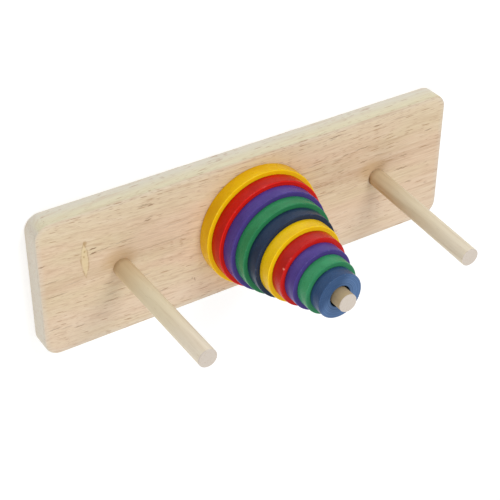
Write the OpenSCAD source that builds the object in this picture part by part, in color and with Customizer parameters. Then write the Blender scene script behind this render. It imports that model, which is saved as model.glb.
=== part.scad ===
// Tower of Hanoi puzzle: a flat wooden board with three round pegs, and ten
// painted wooden discs threaded on the centre peg from the largest to the smallest.
// Origin: centre of the board's underside. +X runs along the row of pegs,
// +Y across the board, +Z up along the pegs. Millimetres.

/* [Board] */
// Length of the board, along the row of pegs
board_length = 314; // [290:1:400]
// Width of the board
board_width = 100; // [92:1:160]
// Thickness of the board
board_thickness = 15; // [13:0.5:25]
// Radius of the board's four corners, seen from above
corner_radius = 11; // [5:0.5:20]
// Radius of the eased edge all round the top and bottom faces
board_edge = 1.2; // [0.5:0.1:3]

/* [Pegs] */
// Distance between neighbouring pegs, centre to centre
peg_spacing = 100; // [92:1:120]
// Diameter of a peg
peg_d = 12.7; // [11:0.1:13]
// Height of a peg above the board
peg_height = 105.5; // [104:0.5:130]
// Radius of the eased rim round a peg's tip
peg_tip_edge = 0.6; // [0.3:0.1:2]
// Solid wood left under the blind hole that holds a peg
floor_under_socket = 4; // [2:0.5:6]
// Angle by which the right peg leans away from upright, in degrees
right_peg_lean = 2.6; // [0:0.1:3]
// Heading of that lean seen from above, in degrees from +X towards +Y
right_peg_heading = 226; // [0:1:359]
// How far along Y the centre peg and its discs stand off the row of the other two pegs
centre_peg_offset = -1; // [-3:0.1:3]

/* [Discs] */
// Diameter of the largest disc, at the bottom
disc_d_largest = 86; // [78:1:90]
// Difference in diameter from one disc to the next
disc_d_step = 6; // [3:0.5:6]
// Thickness of every disc
disc_thickness = 9.7; // [8:0.1:10.2]
// Diameter of the hole through every disc
disc_hole_d = 15; // [14.5:0.5:17]
// Radius of the eased rim of a disc
disc_edge = 0.6; // [0.5:0.1:1.5]
// Radius of the eased edge of a disc's hole
hole_edge = 0.4; // [0.2:0.1:0.8]

/* [Hidden] */
$fn = 96;

// A peg steps in to a glued tenon below the board's top face
shoulder = 0.4;
tenon_r = peg_d / 2 - shoulder;
// Film of glue between a tenon and the wall of its hole
glue_film = 0.05;
socket_depth = board_thickness - floor_under_socket;
// Room for glue between the tenon's end and the bottom of its hole
glue_gap = 0.5;
tenon_length = socket_depth - glue_gap;
// A leaning peg is raised until the low side of its shoulder just meets the board
lean_lift = peg_d / 2 * sin(right_peg_lean);
// The sockets' cutting tools reach this far above the board
cut_over = 2;

wood_colour = [0.90, 0.80, 0.66];
peg_colour = [0.86, 0.79, 0.66];
// The discs repeat these five paints from the bottom of the stack to its top
paints = [
    [0.95, 0.72, 0.06], [0.80, 0.10, 0.10], [0.33, 0.22, 0.58],
    [0.16, 0.55, 0.31], [0.19, 0.28, 0.48]
];

// A rectangle w by h, centred across and standing on the X axis, with corners of radius e
module eased_bar(w, h, e) {
    translate([-w / 2, e])
        square([w, h - 2 * e]);
    translate([e - w / 2, 0])
        square([w - 2 * e, h]);
    for (x = [e - w / 2, w / 2 - e])
        for (y = [e, h - e])
            translate([x, y])
                circle(r = e);
}

// One corner of the board: a disc of the corner's radius with the same eased edges
module board_corner() {
    rotate_extrude()
        intersection() {
            eased_bar(2 * corner_radius, board_thickness, board_edge);
            square([corner_radius, board_thickness]);
        }
}

// The blind hole that one peg is glued into, with the board's top face at z = 0
module socket() {
    translate([0, 0, -socket_depth])
        cylinder(r = tenon_r + glue_film, h = socket_depth + cut_over);
}

// Puts a peg or its socket at the peg's place on the board, tipped over by lean degrees
module at_peg(x, y = 0, lean = 0, heading = 0, lift = 0) {
    translate([x, y, board_thickness + lift])
        rotate([0, 0, heading])
            rotate([0, lean, 0])
                rotate([0, 0, -heading])
                    children();
}

module at_left_peg() at_peg(-peg_spacing) children();
module at_centre_peg() at_peg(0, centre_peg_offset) children();
module at_right_peg()
    at_peg(peg_spacing, 0, right_peg_lean, right_peg_heading, lean_lift) children();

module base_board() {
    along = board_length - 2 * corner_radius;
    across = board_width - 2 * corner_radius;
    color(wood_colour)
        difference() {
            union() {
                translate([-along / 2, 0, 0])
                    rotate([90, 0, 90])
                        linear_extrude(along)
                            eased_bar(board_width, board_thickness, board_edge);
                translate([0, across / 2, 0])
                    rotate([90, 0, 0])
                        linear_extrude(across)
                            eased_bar(board_length, board_thickness, board_edge);
                for (x = [-along / 2, along / 2])
                    for (y = [-across / 2, across / 2])
                        translate([x, y, 0])
                            board_corner();
            }
            at_left_peg() socket();
            at_centre_peg() socket();
            at_right_peg() socket();
        }
}

// A dowel whose shoulder is at z = 0: peg above it, glued tenon below it
module peg() {
    r = peg_d / 2;
    color(peg_colour)
        rotate_extrude() {
            translate([0, -tenon_length])
                square([tenon_r, tenon_length + 1]);
            square([r, peg_height - peg_tip_edge]);
            square([r - peg_tip_edge, peg_height]);
            translate([r - peg_tip_edge, peg_height - peg_tip_edge])
                circle(r = peg_tip_edge);
        }
}

module peg_left() at_left_peg() peg();
module peg_centre() at_centre_peg() peg();
module peg_right() at_right_peg() peg();

// Disc number n of the stack, counted from 1 at the bottom
module disc(n) {
    hole_r = disc_hole_d / 2;
    outer_r = (disc_d_largest - (n - 1) * disc_d_step) / 2;
    rim_x = outer_r - disc_edge;
    bore_x = hole_r + hole_edge;
    color(paints[(n - 1) % len(paints)])
        translate([0, centre_peg_offset, board_thickness + (n - 1) * disc_thickness])
            rotate_extrude() {
                translate([bore_x, 0])
                    square([rim_x - bore_x, disc_thickness]);
                translate([rim_x - disc_edge, disc_edge])
                    square([2 * disc_edge, disc_thickness - 2 * disc_edge]);
                translate([hole_r, hole_edge])
                    square([2 * hole_edge, disc_thickness - 2 * hole_edge]);
                for (y = [disc_edge, disc_thickness - disc_edge])
                    translate([rim_x, y])
                        circle(r = disc_edge);
                for (y = [hole_edge, disc_thickness - hole_edge])
                    translate([bore_x, y])
                        circle(r = hole_edge);
            }
}

base_board();
peg_left();
peg_centre();
peg_right();
disc(1);  // disc_01
disc(2);  // disc_02
disc(3);  // disc_03
disc(4);  // disc_04
disc(5);  // disc_05
disc(6);  // disc_06
disc(7);  // disc_07
disc(8);  // disc_08
disc(9);  // disc_09
disc(10);  // disc_10
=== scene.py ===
"""Looks of a Tower of Hanoi puzzle: a pale wooden board, three dowel pegs and ten painted discs.

Objects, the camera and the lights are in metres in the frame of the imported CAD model: origin at
the centre of the board's underside, +X along the row of pegs, +Y across the board, +Z up. Inside
the materials the same frame is in mm.
"""
import math

import bpy
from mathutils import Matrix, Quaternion, Vector


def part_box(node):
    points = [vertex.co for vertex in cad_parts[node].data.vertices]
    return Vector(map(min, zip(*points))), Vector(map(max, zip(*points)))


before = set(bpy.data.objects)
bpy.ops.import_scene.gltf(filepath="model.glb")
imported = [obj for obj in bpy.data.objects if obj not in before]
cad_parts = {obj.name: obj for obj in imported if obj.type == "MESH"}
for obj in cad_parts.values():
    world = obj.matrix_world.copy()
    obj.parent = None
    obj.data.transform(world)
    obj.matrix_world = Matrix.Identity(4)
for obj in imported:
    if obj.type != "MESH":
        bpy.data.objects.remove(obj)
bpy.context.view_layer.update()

MM = 0.001

# The board's box in metres, then its faces in mm, and the CAD model's names of pegs and discs
BOARD_LOW, BOARD_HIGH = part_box("base_board")
BOARD_UNDERSIDE = BOARD_LOW.z / MM
BOARD_TOP = BOARD_HIGH.z / MM
BOARD_HALF_LENGTH = BOARD_HIGH.x / MM
BOARD_HALF_WIDTH = BOARD_HIGH.y / MM
PEG_NAMES = ["peg_left", "peg_centre", "peg_right"]
DISC_NAMES = [f"disc_{number:02d}" for number in range(1, 11)]


# ---------------------------------------------------------------- camera

# The camera's direction from its aim, its distance and aim in metres, and its lens in mm
CAMERA_AZIMUTH = math.radians(-143.05)
CAMERA_ELEVATION = math.radians(43.08)
CAMERA_ROLL = math.radians(132.68)
CAMERA_DISTANCE = 0.8946
CAMERA_AIM = Vector((-0.00477, -0.02248, 0.01614))
CAMERA_LENS = 95.71
CAMERA_SENSOR = 36.0
CAMERA_NEAR = 0.05
CAMERA_FAR = 20.0


def make_camera():
    """A camera above the board's left end and +Y side, rolled so that the board stands on edge."""
    away = Vector((
        math.sin(CAMERA_AZIMUTH) * math.cos(CAMERA_ELEVATION),
        -math.cos(CAMERA_AZIMUTH) * math.cos(CAMERA_ELEVATION),
        math.sin(CAMERA_ELEVATION),
    ))
    data = bpy.data.cameras.new("camera")
    data.lens = CAMERA_LENS
    data.sensor_width = CAMERA_SENSOR
    data.clip_start = CAMERA_NEAR
    data.clip_end = CAMERA_FAR
    camera = bpy.data.objects.new("camera", data)
    camera.rotation_mode = "QUATERNION"
    camera.location = CAMERA_AIM + away * CAMERA_DISTANCE
    level = (-away).to_track_quat("-Z", "Y")
    camera.rotation_quaternion = level @ Quaternion((0.0, 0.0, 1.0), CAMERA_ROLL)
    bpy.context.scene.collection.objects.link(camera)
    bpy.context.scene.camera = camera


make_camera()


# ---------------------------------------------------------------- node helpers

# Depth in metres of a full-strength bump
BUMP_DEPTH = 0.0002


class Look:
    """One material, with short calls that add nodes to its tree."""

    def __init__(self, name):
        self.material = bpy.data.materials.new(name)
        self.material.use_nodes = True
        self.tree = self.material.node_tree
        self.shader = self.tree.nodes["Principled BSDF"]
        coords = self.tree.nodes.new("ShaderNodeTexCoord")
        self.point = self.vector("SCALE", coords.outputs["Object"], scale=1 / MM)

    def link(self, value, socket):
        """Sets a socket to a number, a colour or another node's output."""
        if isinstance(value, bpy.types.NodeSocket):
            self.tree.links.new(value, socket)
        elif value is not None:
            socket.default_value = value

    def vector(self, operation, a, b=None, scale=None):
        node = self.tree.nodes.new("ShaderNodeVectorMath")
        node.operation = operation
        self.link(a, node.inputs[0])
        self.link(b, node.inputs[1])
        if scale is not None:
            node.inputs["Scale"].default_value = scale
        return node.outputs["Value" if operation == "LENGTH" else "Vector"]

    def math(self, operation, a, b=None):
        node = self.tree.nodes.new("ShaderNodeMath")
        node.operation = operation
        self.link(a, node.inputs[0])
        self.link(b, node.inputs[1])
        return node.outputs[0]

    def plus(self, a, b):
        return self.math("ADD", a, b)

    def minus(self, a, b):
        return self.math("SUBTRACT", a, b)

    def times(self, a, b):
        return self.math("MULTIPLY", a, b)

    def axes(self, vector):
        node = self.tree.nodes.new("ShaderNodeSeparateXYZ")
        self.link(vector, node.inputs[0])
        return node.outputs

    def join(self, x, y, z):
        node = self.tree.nodes.new("ShaderNodeCombineXYZ")
        for value, socket in zip((x, y, z), node.inputs):
            self.link(value, socket)
        return node.outputs[0]

    def noise(self, at, size, detail=3.0, rough=0.5, seed=0.0):
        """Noise from 0 to 1 whose features have the given size in mm along X, Y and Z."""
        stretched = self.vector("DIVIDE", at, tuple(size))
        shifted = self.vector("ADD", stretched, (seed, seed * 1.7, seed * 0.6))
        node = self.tree.nodes.new("ShaderNodeTexNoise")
        node.inputs["Scale"].default_value = 1.0
        node.inputs["Detail"].default_value = detail
        node.inputs["Roughness"].default_value = rough
        self.link(shifted, node.inputs["Vector"])
        return node.outputs[0]

    def cells(self, at, size, seed=0.0):
        """Distance to the nearest of some scattered points, and a random number per point."""
        stretched = self.vector("DIVIDE", at, tuple(size))
        shifted = self.vector("ADD", stretched, (seed, seed * 1.3, seed * 2.1))
        node = self.tree.nodes.new("ShaderNodeTexVoronoi")
        node.inputs["Scale"].default_value = 1.0
        self.link(shifted, node.inputs["Vector"])
        return node.outputs["Distance"], self.axes(node.outputs["Color"])[0]

    def band(self, value, low, high, to_low=0.0, to_high=1.0, smooth=True):
        """Maps low..high onto to_low..to_high, held outside that range."""
        node = self.tree.nodes.new("ShaderNodeMapRange")
        node.interpolation_type = "SMOOTHSTEP" if smooth else "LINEAR"
        node.clamp = True
        for socket, number in zip(list(node.inputs)[1:5], (low, high, to_low, to_high)):
            self.link(number, socket)
        self.link(value, node.inputs[0])
        return node.outputs[0]

    def rise(self, value, start, end, peak=1.0):
        """0 up to start, then smoothly up to peak at end and beyond."""
        return self.band(value, start, end, 0.0, peak)

    def fall(self, value, start, end, peak=1.0):
        """Peak up to start, then smoothly down to 0 at end and beyond."""
        return self.band(value, start, end, peak, 0.0)

    def blend(self, share, first, second):
        """Colour first where share is 0 and second where it is 1."""
        node = self.tree.nodes.new("ShaderNodeMix")
        node.data_type = "RGBA"
        self.link(share, node.inputs["Factor"])
        colour_inputs = [socket for socket in node.inputs if socket.type == "RGBA"]
        self.link(first, colour_inputs[0])
        self.link(second, colour_inputs[1])
        return next(socket for socket in node.outputs if socket.type == "RGBA")

    def finish(self, colour, roughness, specular, height, bump):
        """Joins the colour, gloss and bump up to the shader, and returns the material."""
        self.link(colour, self.shader.inputs["Base Color"])
        self.link(roughness, self.shader.inputs["Roughness"])
        self.shader.inputs["Specular IOR Level"].default_value = specular
        node = self.tree.nodes.new("ShaderNodeBump")
        node.inputs["Strength"].default_value = bump
        node.inputs["Distance"].default_value = BUMP_DEPTH
        self.link(height, node.inputs["Height"])
        self.link(node.outputs[0], self.shader.inputs["Normal"])
        return self.material


def rgb(red, green, blue):
    """A colour picked in ordinary 0..255 screen values, as the linear colour shaders take."""

    def linear(value):
        value /= 255
        return value / 12.92 if value <= 0.04045 else ((value + 0.055) / 1.055) ** 2.4

    return (linear(red), linear(green), linear(blue), 1.0)


# ---------------------------------------------------------------- board wood

BOARD_PEACH = rgb(229, 201, 172)
BOARD_CREAM = rgb(227, 206, 172)
BOARD_PALE = rgb(230, 214, 184)
BOARD_SIDE = rgb(221, 213, 182)
BOARD_SIDE_LOW = rgb(219, 214, 200)
BOARD_RIM_SHEEN = rgb(226, 217, 204)
BOARD_END = rgb(216, 208, 192)
BOARD_LIGHT = rgb(240, 222, 198)
BOARD_STREAK = rgb(200, 168, 136)
BOARD_PORE = rgb(164, 116, 76)
BOARD_MARK = rgb(124, 84, 50)
BOARD_ROUGHNESS = (0.46, 0.60)
WOOD_SPECULAR = 0.25
# The board's corners seen from above, as in the CAD model
CORNER_RADIUS = 11.0
# Larger than the board is thick, so that the distance to its outline leaves out the height
BEYOND = 1000.0
# Distances inside the outline where the walls' cooler colour and the rim's painted highlight begin
# and are complete
WALL_FADE = (1.5, 0.1)
RIM_SHEEN_FADE = (5.0, 1.0)
RIM_SHEEN_SHARE = 0.35
# Round a corner, the side's colour gives way to the end's within this distance
CORNER_FADE = 3.0
# A side is greyer towards its lower edge, and the change begins and ends this far from the faces
SIDE_FADE = 1.0
# The grain and pores on the walls are this much fainter
WALL_CALM = 0.45
# Depths below the top face where what shows on it only begins and is complete
TOP_FADE = (0.8, 0.3)
# Paler wood towards the +Y side, and lighter wood towards -Y: from Y, to Y, share
PALE_MARGIN = (26.0, 50.0, 0.75)
LIGHT_MARGIN = (-36.0, -6.0, 0.35)
# Painted warm bounce light and shade on the board, on the +Y side of the feet of the two outer pegs:
# centres and half size
FOOT_BOUNCE_SHADE = rgb(204, 170, 122)
FOOT_BOUNCE_SHARE = 0.5
FOOT_BOUNCE_SPOTS = [(-102.0, 7.0), (97.0, 7.0)]
FOOT_BOUNCE_HALF = (13.0, 8.0)
# Open pores crowd together in a darker patch beside the right peg
CROWDED_AT = (86.0, 16.0)
CROWDED_HALF = (36.0, 20.0)
CROWDED_SHADE = 0.35
CROWDED_PORES = 0.30
# A darker band runs nearly along the row of pegs: its Y at X = 0, slope, half width, share
DARK_BAND = (6.5, 0.03, 7.0, 0.30)
# The knot near the left end: a spindle of yellower wood with a broken brown outline
KNOT_AT = (-125.2, 14.5)
KNOT_HALF = (2.7, 13.0)
KNOT_WOOD = rgb(231, 210, 162)
KNOT_WOOD_SHARE = 0.6
KNOT_LINE = rgb(178, 142, 92)
# How dark the outline is where it is broken, and where it is whole
KNOT_LINE_SHARES = (0.1, 0.5)
# Flecks in the knot and at its tip: x, y, half length, half width
KNOT_FLECKS = [(-124.9, 21.2, 0.8, 0.9), (-125.6, 17.4, 0.9, 0.8), (-124.3, 27.2, 1.6, 2.2)]
KNOT_FLECK_SHARE = 0.65
# The grain wanders this far to each side, and from one X to the left end it bends towards +Y, by
# this much in mm per mm squared
WANDER = 2.0
BEND_FROM = 60.0
BEND = 1 / 4000
# Growth lines, then fibres: their size in mm, and where in the noise dark and light lines lie
# (from, to, share)
GRAIN_LAYERS = [
    {
        "size": (70, 2.0, 2.0), "rough": 0.62, "seed": 5.2,
        "dark": (0.48, 0.75, 0.65), "light": (0.25, 0.46, 0.45),
    },
    {
        "size": (15, 0.6, 0.6), "rough": 0.65, "seed": 8.6,
        "dark": (0.48, 0.76, 0.70), "light": (0.25, 0.46, 0.60),
    },
]
# Open pores: the cell that each may fill, in mm, where in the cell its edge fades, and how dark
FINE_PORES = {"length": 7.0, "width": 0.6, "seed": 2.3}
COARSE_PORES = {"length": 15.0, "width": 1.0, "seed": 6.7}
PORE_EDGE = (0.20, 0.36)
FINE_DEPTH = 0.50
COARSE_DEPTH = 0.65
# The share of cells with a coarse pore, as a part of the share with a fine one
COARSE_SHARE = 0.6
# More pores towards the +Y side (from Y, to Y, added share), and fewer at the left end (from X,
# to X, factor up to the first, factor past the second)
MARGIN_PORES = (32.0, 46.0, 0.2)
FEWER_PORES = (-120.0, -70.0, 0.4, 1.0)
# The knot and the marks have edges that wobble this far, in mm
WOBBLE = 0.5
# Where noise moves a point, this middle part of its range covers the whole distance
NOISE_SPAN = (0.2, 0.8)
# Single marks on the top face: x, y, half length, half width, strength, all but the last in mm
MARKS = [
    # Beside the knot
    (-119.0, 21.4, 2.6, 0.55, 0.85),
    (-119.2, 17.9, 2.4, 0.55, 0.80),
    # From the left end to the left peg
    (-112.0, 18.4, 7.0, 0.40, 0.40),
    (-97.0, 19.3, 9.0, 0.40, 0.40),
    (-154.0, 20.6, 2.2, 0.50, 0.60),
    (-149.0, 6.8, 6.0, 0.50, 0.35),
    (-146.5, -4.4, 8.0, 0.50, 0.45),
    (-134.0, 1.0, 6.5, 0.45, 0.20),
    (-149.5, -29.6, 5.0, 0.45, 0.45),
    (-141.0, -31.6, 4.5, 0.40, 0.35),
    (-132.5, -34.0, 4.5, 0.45, 0.45),
    (-110.0, -8.8, 3.8, 0.50, 0.40),
    (-108.5, -17.8, 5.0, 0.50, 0.25),
    (-108.5, -22.7, 7.0, 0.50, 0.35),
    (-117.0, -31.0, 6.0, 0.45, 0.25),
    # From the left peg to the stack
    (-62.0, 19.0, 12.0, 0.45, 0.20),
    (-82.5, 40.6, 5.0, 0.55, 0.45),
    (-77.5, 39.4, 2.2, 0.55, 0.60),
    (-80.5, 28.7, 2.8, 0.60, 0.60),
    (-79.0, 30.4, 3.5, 0.45, 0.30),
    (-68.0, 7.6, 20.0, 0.60, 0.25),
    (-84.0, -12.7, 4.5, 0.50, 0.30),
    (-71.5, -30.2, 4.0, 0.50, 0.35),
    (-47.3, -30.6, 0.45, 2.00, 0.60),
    (-49.4, -29.2, 1.2, 0.60, 0.35),
    # From the stack to the right end
    (45.0, 26.6, 4.0, 0.45, 0.30),
    (63.1, 43.8, 6.5, 0.50, 0.60),
    (61.0, 42.4, 3.0, 0.50, 0.35),
    (97.5, 41.6, 2.8, 0.50, 0.40),
    (117.0, 41.8, 8.0, 0.45, 0.25),
    (86.2, 27.5, 7.0, 0.50, 0.50),
    (72.5, 26.6, 2.8, 0.60, 0.45),
    (66.0, 24.7, 4.0, 0.45, 0.25),
    (143.8, 24.4, 3.4, 0.55, 0.55),
    (101.0, 17.9, 4.5, 0.45, 0.35),
    (88.0, 16.2, 3.8, 0.50, 0.50),
    (68.8, 14.8, 3.4, 0.50, 0.35),
    (142.5, 11.3, 6.0, 0.50, 0.25),
    (123.1, 10.0, 4.4, 0.50, 0.50),
    (60.0, 7.9, 4.5, 0.50, 0.30),
    (90.0, 8.2, 4.0, 0.50, 0.40),
    (104.0, 7.9, 4.5, 0.45, 0.30),
    (58.8, 0.0, 6.5, 0.50, 0.30),
    (122.0, -0.3, 6.8, 0.55, 0.55),
    (129.5, -13.8, 3.4, 0.50, 0.45),
    (100.0, -18.0, 6.5, 0.60, 0.20),
]


def lens(look, at, x, y, half_x, half_y):
    """Distance from (x, y) that is 1 on an ellipse with the given half sizes."""
    away = look.vector("SUBTRACT", at, (x, y, 0.0))
    return look.vector("LENGTH", look.vector("MULTIPLY", away, (1 / half_x, 1 / half_y, 0.0)))


def pores(look, at, length, width, seed, share):
    """Dashes along X: 1 in the middle of a dash and 0 away from it."""
    reach, pick = look.cells(at, (length, width, width), seed=seed)
    return look.times(look.fall(reach, *PORE_EDGE), look.math("LESS_THAN", pick, share))


def bent_grain(look):
    """The point moved across the board, so that what lies along X wanders and bends."""
    x = look.axes(look.point)[0]
    wander = look.noise(look.point, size=(120, 30, 30), detail=2, seed=3.1)
    drift = look.band(wander, *NOISE_SPAN, -WANDER, WANDER, smooth=False)
    left_of_bend = look.math("MINIMUM", look.minus(x, BEND_FROM), 0.0)
    drift = look.minus(drift, look.times(look.math("POWER", left_of_bend, 2.0), BEND))
    return look.vector("ADD", look.point, look.join(0.0, drift, drift))


def board_clouds(look, bent, crowded):
    """Broad clouds of cream and peach, a pale margin on each side, and darker colour in two places.
    """
    x, y = look.axes(look.point)[:2]
    broad = look.noise(bent, size=(110, 22, 22), detail=2, seed=1.4)
    colour = look.blend(look.rise(broad, 0.38, 0.62), BOARD_PEACH, BOARD_CREAM)
    colour = look.blend(look.rise(y, *PALE_MARGIN), colour, BOARD_PALE)
    colour = look.blend(look.fall(y, *LIGHT_MARGIN), colour, BOARD_LIGHT)
    band_y, band_slope, band_half, band_share = DARK_BAND
    off_band = look.minus(look.minus(y, band_y), look.times(x, band_slope))
    banded = look.fall(look.math("ABSOLUTE", off_band), 0.0, band_half, band_share)
    darker = look.plus(banded, look.times(crowded, CROWDED_SHADE))
    return look.blend(darker, colour, BOARD_STREAK)


def board_walls(look, colour):
    """Adds the long sides and the sawn ends, painted cooler and greyer than the top as painted light,
    which meet half way round the corners, and a painted highlight along their rim.
    """
    z = look.axes(look.point)[2]
    inner = (BOARD_HALF_LENGTH - CORNER_RADIUS, BOARD_HALF_WIDTH - CORNER_RADIUS, BEYOND)
    past = look.vector("SUBTRACT", look.vector("ABSOLUTE", look.point), inner)
    past = look.vector("MAXIMUM", past, (0.0, 0.0, 0.0))
    past_x, past_y = look.axes(past)[:2]
    reach = look.vector("LENGTH", past)
    wall = look.rise(reach, *(CORNER_RADIUS - inside for inside in WALL_FADE))
    # The rim's paler colour is a painted highlight along the eased edge
    rim_sheen = look.rise(reach, *(CORNER_RADIUS - inside for inside in RIM_SHEEN_FADE), RIM_SHEEN_SHARE)
    # The walls' cooler, greyer colour is painted light
    up_side = look.rise(z, BOARD_UNDERSIDE + SIDE_FADE, BOARD_TOP - SIDE_FADE)
    side = look.blend(up_side, BOARD_SIDE_LOW, BOARD_SIDE)
    round_corner = look.rise(look.minus(past_x, past_y), -CORNER_FADE, CORNER_FADE)
    wall_lit_colour = look.blend(round_corner, side, BOARD_END)
    colour = look.blend(rim_sheen, colour, BOARD_RIM_SHEEN)
    return look.blend(wall, colour, wall_lit_colour), wall


def board_pores(look, bent, crowded, contrast):
    """Fine and coarse open pores, crowded in some places and few in others."""
    x, y = look.axes(look.point)[:2]
    crowd = look.noise(look.point, size=(45, 14, 14), detail=1, seed=9.4)
    many = look.band(crowd, 0.40, 0.66, 0.04, 0.42, smooth=False)
    more = look.plus(look.times(crowded, CROWDED_PORES), look.rise(y, *MARGIN_PORES))
    many = look.times(look.plus(many, more), contrast)
    many = look.times(many, look.band(x, *FEWER_PORES))
    fine = pores(look, bent, share=many, **FINE_PORES)
    coarse = pores(look, bent, share=look.times(many, COARSE_SHARE), **COARSE_PORES)
    return fine, coarse


def board_knot(look, colour, warped, on_top):
    """Adds the knot, its broken outline and its flecks."""
    away_x, away_y = look.axes(look.vector("SUBTRACT", warped, (*KNOT_AT, 0.0)))[:2]
    along = look.math("POWER", look.math("DIVIDE", away_y, KNOT_HALF[1]), 2.0)
    across = look.math("ABSOLUTE", look.math("DIVIDE", away_x, KNOT_HALF[0]))
    knot = look.plus(across, along)
    inside = look.times(look.fall(knot, 0.7, 1.0, KNOT_WOOD_SHARE), on_top)
    colour = look.blend(inside, colour, KNOT_WOOD)
    off_outline = look.math("ABSOLUTE", look.minus(knot, 1.0))
    gaps = look.noise(look.point, size=(3.0, 6.0, 3.0), detail=1, seed=4.4)
    broken = look.band(gaps, 0.35, 0.6, *KNOT_LINE_SHARES)
    outline = look.times(look.fall(off_outline, 0.0, 0.30), look.times(broken, on_top))
    colour = look.blend(outline, colour, KNOT_LINE)
    for fleck in KNOT_FLECKS:
        spot = look.fall(lens(look, warped, *fleck), 0.2, 1.3, KNOT_FLECK_SHARE)
        colour = look.blend(look.times(spot, on_top), colour, KNOT_LINE)
    return colour


def board_wood():
    """The board: grain, pores, a knot and single marks, with painted light on its sides, ends and rim
    and painted bounce light and shade by the pegs' feet.
    """
    look = Look("board_wood")
    bent = bent_grain(look)
    crowded = look.fall(lens(look, look.point, *CROWDED_AT, *CROWDED_HALF), 0.3, 1.3)
    colour = board_clouds(look, bent, crowded)
    colour, wall = board_walls(look, colour)

    # Growth lines and fibres, fainter on the walls
    contrast = look.minus(1.0, look.times(wall, WALL_CALM))
    lines = []
    for layer in GRAIN_LAYERS:
        line = look.noise(bent, layer["size"], rough=layer["rough"], seed=layer["seed"])
        dark = look.times(look.rise(line, *layer["dark"]), contrast)
        light = look.times(look.fall(line, *layer["light"]), contrast)
        colour = look.blend(dark, colour, BOARD_STREAK)
        colour = look.blend(light, colour, BOARD_LIGHT)
        lines.append(line)
    rings, fibre = lines
    fine, coarse = board_pores(look, bent, crowded, contrast)
    colour = look.blend(look.times(fine, FINE_DEPTH), colour, BOARD_PORE)
    colour = look.blend(look.times(coarse, COARSE_DEPTH), colour, BOARD_PORE)

    # The painted bounce light and shade by the feet, the knot and the single marks show on the top
    # face only
    on_top = look.rise(look.axes(look.point)[2], *(BOARD_TOP - depth for depth in TOP_FADE))
    # Painted warm bounce light and shade by the feet of the outer pegs
    for bounce_spot in FOOT_BOUNCE_SPOTS:
        off_bounce = lens(look, look.point, *bounce_spot, *FOOT_BOUNCE_HALF)
        share = look.times(look.fall(off_bounce, 0.4, 1.3, FOOT_BOUNCE_SHARE), on_top)
        colour = look.blend(share, colour, FOOT_BOUNCE_SHADE)
    rough_edge = look.noise(look.point, size=(2.5, 5.0, 5.0), detail=2, seed=7.7)
    wobble = look.band(rough_edge, *NOISE_SPAN, -WOBBLE, WOBBLE, smooth=False)
    warped = look.vector("ADD", look.point, look.join(wobble, wobble, 0.0))
    colour = board_knot(look, colour, warped, on_top)
    marked = 0.0
    for x, y, half_x, half_y, strength in MARKS:
        mark = look.fall(lens(look, warped, x, y, half_x, half_y), 0.4, 1.25, strength)
        marked = look.math("MAXIMUM", mark, marked)
    marked = look.times(marked, on_top)
    colour = look.blend(marked, colour, BOARD_MARK)

    dents = look.math("MAXIMUM", look.math("MAXIMUM", fine, coarse), marked)
    groove = look.minus(look.times(fibre, 0.35), dents)
    roughness = look.band(rings, 0.3, 0.8, *BOARD_ROUGHNESS)
    return look.finish(colour, roughness, WOOD_SPECULAR, groove, bump=0.30)


# ---------------------------------------------------------------- peg wood

# Each peg's colour at its foot, half way up and near its tip; on the outer pegs painted light makes
# the foot darker and warmer and the tip paler
PEG_COLOURS = {
    "peg_left": (rgb(219, 195, 156), rgb(224, 210, 179), rgb(230, 218, 197)),
    "peg_centre": (rgb(190, 166, 128), rgb(190, 168, 130), rgb(188, 166, 128)),
    "peg_right": (rgb(218, 196, 160), rgb(223, 209, 180), rgb(227, 216, 194)),
}
# The foot's colour ends at the first height above the board, and the tip's begins at the second
# and is whole from the third's distance below the top
PEG_FOOT_ENDS = 45.0
PEG_TIP_BEGINS = 50.0
PEG_TIP_WHOLE = 5.0
# The pegs' radius, as in the CAD model
PEG_RADIUS = 6.35
# Painted shade round the foot, up to heights between these two
PEG_FOOT_SHADE = rgb(160, 118, 70)
PEG_FOOT_SHADE_FADE = (0.2, 5.0)
PEG_FOOT_SHADE_SHARE = 0.4
# The sawn end's wood, and the depths below the tip where it begins and is complete
PEG_END = rgb(215, 204, 192)
PEG_END_FADE = (0.9, 0.5)
PEG_FLECK = rgb(184, 158, 120)
PEG_ROUGHNESS = (0.48, 0.62)
# The leaning peg has a stripe of brown heartwood, which faces this way, between the stack and -Y,
# and fades out between these heights
LEANING_PEG = "peg_right"
STRIPE_FACES = (-0.82, -0.57)
STRIPE_SHARE = 0.9
STRIPE_FADE = (15.0, 80.0)
PEG_HEART = rgb(182, 146, 100)
# A dark line at its foot on the same side, up to this height, is painted shadow in the gap under the
# leaning peg
PEG_GAP_SHADOW = rgb(104, 70, 38)
GAP_SHADOW_HEIGHT = 3.5
GAP_SHADOW_SHARE = 0.85


def facing(look, low, high):
    """How nearly a point of the leaning peg faces the stripe's way: 1 straight, 0 sideways on."""
    # The peg's foot reaches its box's high corner, and its tip the low one
    foot_x, foot_y = high.x / MM - PEG_RADIUS, high.y / MM - PEG_RADIUS
    tip_x, tip_y = low.x / MM + PEG_RADIUS, low.y / MM + PEG_RADIUS
    up = look.band(look.axes(look.point)[2], BOARD_TOP, high.z / MM, smooth=False)
    leaning = look.vector("MULTIPLY", look.join(up, up, 0.0), (tip_x - foot_x, tip_y - foot_y, 0.0))
    beside = look.vector("SUBTRACT", look.point, (foot_x, foot_y, 0.0))
    beside = look.vector("SUBTRACT", beside, leaning)
    stripe_x, stripe_y = STRIPE_FACES
    beside = look.vector("MULTIPLY", beside, (stripe_x / PEG_RADIUS, stripe_y / PEG_RADIUS, 0.0))
    side_x, side_y = look.axes(beside)[:2]
    return look.plus(side_x, side_y)


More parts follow.
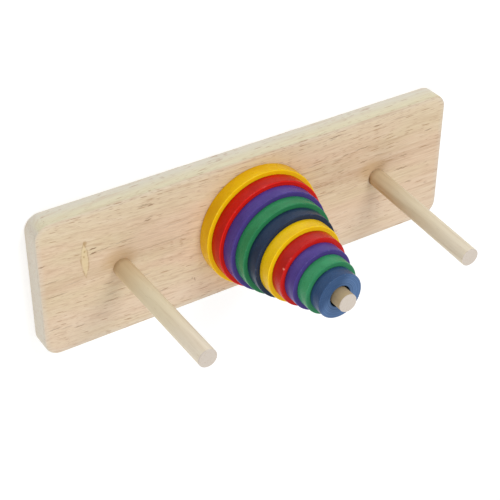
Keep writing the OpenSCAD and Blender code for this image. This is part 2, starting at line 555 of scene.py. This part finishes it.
def peg_wood(name):
    """Dowel wood with painted light, darker and warmer at the foot and paler towards the tip, painted
    shade round the foot, and on the leaning peg a stripe of heartwood and a painted shadow in the gap
    at its foot.
    """
    low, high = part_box(name)
    foot_colour, body_colour, tip_colour = PEG_COLOURS[name]
    look = Look(name + "_wood")
    at = look.point
    z = look.axes(at)[2]
    foot, tip = BOARD_TOP, high.z / MM
    # Painted light: darker and warmer at the foot, paler towards the tip
    colour = look.blend(look.rise(z, foot, foot + PEG_FOOT_ENDS), foot_colour, body_colour)
    up_tip = look.rise(z, foot + PEG_TIP_BEGINS, tip - PEG_TIP_WHOLE)
    colour = look.blend(up_tip, colour, tip_colour)
    if name == LEANING_PEG:
        towards = facing(look, low, high)
        stripe = look.noise(at, size=(2.5, 2.5, 80), detail=2, seed=1.3)
        low_down = look.fall(z, *(foot + height for height in STRIPE_FADE))
        share = look.times(look.band(stripe, 0.35, 0.65, 0.6, 1.0), low_down)
        share = look.times(share, look.rise(towards, 0.25, 0.95, STRIPE_SHARE))
        colour = look.blend(share, colour, PEG_HEART)
    # Painted shade round the foot
    foot_shade = look.fall(z, *(foot + height for height in PEG_FOOT_SHADE_FADE), PEG_FOOT_SHADE_SHARE)
    colour = look.blend(foot_shade, colour, PEG_FOOT_SHADE)
    if name == LEANING_PEG:
        # Painted shadow in the gap under the leaning peg's foot
        gap_shadow = look.fall(z, foot, foot + GAP_SHADOW_HEIGHT, GAP_SHADOW_SHARE)
        gap_shadow = look.times(gap_shadow, look.rise(towards, 0.4, 0.9))
        colour = look.blend(gap_shadow, colour, PEG_GAP_SHADOW)

    broad = look.noise(at, size=(3.0, 3.0, 70), detail=2, seed=2.7)
    colour = look.blend(look.rise(broad, 0.45, 0.75, 0.25), colour, PEG_FLECK)
    fibre = look.noise(at, size=(0.5, 0.5, 14), detail=2, rough=0.6, seed=6.1)
    colour = look.blend(look.rise(fibre, 0.52, 0.85, 0.28), colour, PEG_FLECK)
    reach, pick = look.cells(at, (0.9, 0.9, 6.0), seed=4.2)
    pore = look.times(look.fall(reach, 0.12, 0.26), look.math("LESS_THAN", pick, 0.25))
    colour = look.blend(look.times(pore, 0.25), colour, PEG_FLECK)

    # The sawn end is paler, with fine specks where the pores are cut across
    end = look.rise(z, *(tip - depth for depth in PEG_END_FADE))
    specks = look.noise(at, size=(0.7, 0.7, 0.7), detail=2, rough=0.7, seed=3.8)
    end_wood = look.blend(look.rise(specks, 0.5, 0.75, 0.35), PEG_END, PEG_FLECK)
    colour = look.blend(end, colour, end_wood)
    height = look.minus(look.times(fibre, 0.5), pore)
    roughness = look.band(fibre, 0.3, 0.8, *PEG_ROUGHNESS)
    return look.finish(colour, roughness, WOOD_SPECULAR, height, bump=0.25)


# ---------------------------------------------------------------- paint

# Each disc's paint, from the bottom of the stack up: its colour where it is thick, where it
# is thin, and on the flat top face, painted lighter there as painted light and sheen
DISC_PAINTS = [
    (rgb(242, 192, 4), rgb(224, 164, 2), rgb(255, 217, 21)),
    (rgb(204, 24, 8), rgb(168, 12, 4), rgb(238, 37, 24)),
    (rgb(84, 65, 148), rgb(62, 46, 118), rgb(81, 64, 139)),
    (rgb(50, 139, 88), rgb(38, 115, 70), rgb(50, 134, 86)),
    (rgb(34, 54, 83), rgb(26, 38, 60), rgb(42, 54, 80)),
    (rgb(238, 197, 8), rgb(220, 168, 4), rgb(255, 218, 24)),
    (rgb(194, 26, 18), rgb(160, 12, 10), rgb(230, 40, 32)),
    (rgb(84, 66, 146), rgb(60, 46, 118), rgb(85, 68, 144)),
    (rgb(58, 150, 100), rgb(43, 123, 79), rgb(60, 144, 98)),
    (rgb(46, 76, 116), rgb(32, 55, 92), rgb(100, 132, 178)),
]
PAINT_ROUGHNESS = (0.24, 0.36)
PAINT_SPECULAR = 0.16
# Each disc has its own noise: the first disc's seed, and the step to the next
PAINT_SEED = 1.9
PAINT_SEED_STEP = 3.3
# Depths below the top face where its painted light begins and is complete
LIT_TOP_FADE = (0.4, 0.05)
# Rubbed spots on the rims, also painted highlights, are paler than the top face's painted-light
# colour: its colour times one, plus the other
RUBBED_GLINT_KEEPS = 0.8
RUBBED_GLINT_ADDS = 0.12
RUBBED_GLINT_SHARE = 0.40
# Distances in from a disc's outer wall where what shows on the wall only begins and is complete
RUBBED_GLINT_FADE = (1.2, 0.6)
CONTACT_SHADE_FADE = (1.2, 0.5)
# Painted contact shade low on a disc's wall fades out between these heights above its underside
CONTACT_SHADE_HEIGHTS = (0.1, 0.9)
CONTACT_SHADE_SHARE = 0.35
DISC_CONTACT_SHADE = rgb(16, 12, 12)
# One painted highlight, a small glint on the rim of the second red disc: its place from the disc's
# axis, its depth below the top face, and its half size
GLINTING_DISC = "disc_07"
GLINT_AT = (-22.5, 11.0)
GLINT_DEPTH = 0.6
GLINT_HALF = (0.8, 0.8, 1.3)
PAINTED_GLINT = rgb(250, 150, 135)
GLINT_SHARE = 0.8


def rubbed_and_glinting_rims(look, seed, out, z, radius, bottom, top):
    """The share of rubbed paint and painted highlight: some in spots along a disc's top and bottom
    rims, 0 elsewhere.
    """
    off_middle = look.math("ABSOLUTE", look.minus(z, (top + bottom) / 2))
    off_rim = look.math("ABSOLUTE", look.minus(off_middle, (top - bottom) / 2))
    on_wall = look.rise(out, *(radius - inside for inside in RUBBED_GLINT_FADE))
    on_rim = look.times(look.fall(off_rim, 0.1, 1.1), on_wall)
    spots = look.noise(look.point, size=(3.5, 3.5, 1.6), detail=2, rough=0.65, seed=seed)
    return look.times(on_rim, look.rise(spots, 0.56, 0.74, RUBBED_GLINT_SHARE))


def paint(name, index):
    """Semi-gloss paint on a turned disc, whose grain and turning marks show faintly through it, with
    painted light on its top face, painted highlights on its rims and painted shade low on its wall.
    """
    low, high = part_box(name)
    light, deep, lit_top = DISC_PAINTS[index]
    centre = (low + high) / 2 / MM
    bottom, top = low.z / MM, high.z / MM
    radius = (high.x - low.x) / 2 / MM
    seed = PAINT_SEED + index * PAINT_SEED_STEP
    look = Look(name + "_paint")
    at = look.vector("SUBTRACT", look.point, (centre.x, centre.y, 0.0))
    x, y, z = look.axes(at)[:3]
    out = look.vector("LENGTH", look.join(x, y, 0.0))

    cloud = look.noise(at, size=(16, 16, 9), seed=seed)
    colour = look.blend(look.rise(cloud, 0.35, 0.75, 0.6), light, deep)
    grain = look.noise(at, size=(22, 0.8, 0.8), detail=2, rough=0.6, seed=seed + 0.7)
    colour = look.blend(look.rise(grain, 0.48, 0.78, 0.55), colour, deep)
    turning = look.noise(look.join(out, 0.0, z), size=(0.7, 1.0, 0.9), detail=2, seed=seed + 1.4)
    colour = look.blend(look.rise(turning, 0.5, 0.8, 0.25), colour, deep)

    # The flat top face is painted lighter, as painted light and sheen, in rings left by turning
    on_top = look.rise(z, *(top - depth for depth in LIT_TOP_FADE))
    lit_top_share = look.times(look.band(turning, 0.3, 0.7, 0.95, 0.45), on_top)
    if name == DISC_NAMES[-1]:
        # On the top disc the painted light is weaker on one side
        towards = look.math("DIVIDE", look.minus(y, x), radius)
        lit_top_share = look.times(lit_top_share, look.band(towards, 0.15, 0.85, 1.0, 0.25))
    colour = look.blend(lit_top_share, colour, lit_top)

    # Pale spots on the rims: rubbed paint and painted highlights
    pale = tuple(part * RUBBED_GLINT_KEEPS + RUBBED_GLINT_ADDS for part in lit_top[:3]) + (1.0,)
    rubbed_glint = rubbed_and_glinting_rims(look, seed + 2.2, out, z, radius, bottom, top)
    colour = look.blend(rubbed_glint, colour, pale)
    # A painted highlight on one rim of the second red disc
    if name == GLINTING_DISC:
        away = look.vector("SUBTRACT", at, (*GLINT_AT, top - GLINT_DEPTH))
        glint_reach = look.vector("LENGTH", look.vector("DIVIDE", away, GLINT_HALF))
        colour = look.blend(look.fall(glint_reach, 0.3, 1.2, GLINT_SHARE), colour, PAINTED_GLINT)
    # Painted shade low down where a disc rests on the one below, but not on the bottom disc
    if index:
        low_down = look.fall(z, *(bottom + height for height in CONTACT_SHADE_HEIGHTS), CONTACT_SHADE_SHARE)
        on_wall = look.rise(out, *(radius - inside for inside in CONTACT_SHADE_FADE))
        colour = look.blend(look.times(low_down, on_wall), colour, DISC_CONTACT_SHADE)
    roughness = look.band(cloud, 0.3, 0.7, *PAINT_ROUGHNESS)
    return look.finish(colour, roughness, PAINT_SPECULAR, look.plus(grain, turning), bump=0.10)


# ---------------------------------------------------------------- pieces


def dress(node, material):
    """Gives a CAD node a material in place of its plain one."""
    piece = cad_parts[node]
    piece.data.materials.clear()
    piece.data.materials.append(material)


dress("base_board", board_wood())
for peg in PEG_NAMES:
    dress(peg, peg_wood(peg))
for index, disc in enumerate(DISC_NAMES):
    dress(disc, paint(disc, index))


# ---------------------------------------------------------------- stage and light

WHITE = (1.0, 1.0, 1.0, 1.0)
FLOOR_SIZE = 30.0
FLOOR_COLOUR = (0.75, 0.75, 0.75, 1.0)
FLOOR_ROUGHNESS = 0.8
FLOOR_GLOW = 0.41
WORLD_STRENGTH = 0.50
LIGHT_AIM = Vector((0.0, 0.0, 0.04))
# Square soft lights: name, place, length of a side, power in watts
LIGHTS = [
    ("key", Vector((0.173, 0.529, 0.66)), 0.34, 2.2),
    ("fill", Vector((-0.54, -1.01, 0.65)), 1.6, 6.0),
    ("overhead", Vector((-0.1, -0.2, 1.4)), 1.2, 3.3),
]


def make_floor():
    """A wide white floor that glows a little, so that it is pure white round the object."""
    mesh = bpy.data.meshes.new("floor")
    half = FLOOR_SIZE / 2
    corners = [(-half, -half, 0), (half, -half, 0), (half, half, 0), (-half, half, 0)]
    mesh.from_pydata(corners, [], [(0, 1, 2, 3)])
    floor = bpy.data.objects.new("floor", mesh)
    bpy.context.scene.collection.objects.link(floor)
    material = bpy.data.materials.new("floor_white")
    material.use_nodes = True
    shader = material.node_tree.nodes["Principled BSDF"]
    shader.inputs["Base Color"].default_value = FLOOR_COLOUR
    shader.inputs["Roughness"].default_value = FLOOR_ROUGHNESS
    shader.inputs["Emission Color"].default_value = WHITE
    shader.inputs["Emission Strength"].default_value = FLOOR_GLOW
    mesh.materials.append(material)


def make_light(name, at, size, power):
    """A square soft light at a place, aimed at the object."""
    data = bpy.data.lights.new(name, "AREA")
    data.shape = "SQUARE"
    data.size = size
    data.energy = power
    light = bpy.data.objects.new(name, data)
    light.location = at
    light.rotation_mode = "QUATERNION"
    light.rotation_quaternion = (LIGHT_AIM - at).to_track_quat("-Z", "Y")
    bpy.context.scene.collection.objects.link(light)


def make_world():
    """An even white light from all round."""
    world = bpy.data.worlds.new("studio")
    bpy.context.scene.world = world
    world.use_nodes = True
    background = world.node_tree.nodes["Background"]
    background.inputs["Color"].default_value = WHITE
    background.inputs["Strength"].default_value = WORLD_STRENGTH


make_floor()
make_world()
for light in LIGHTS:
    make_light(*light)

view_settings = bpy.context.scene.view_settings
view_settings.view_transform = "Standard"
view_settings.look = "None"
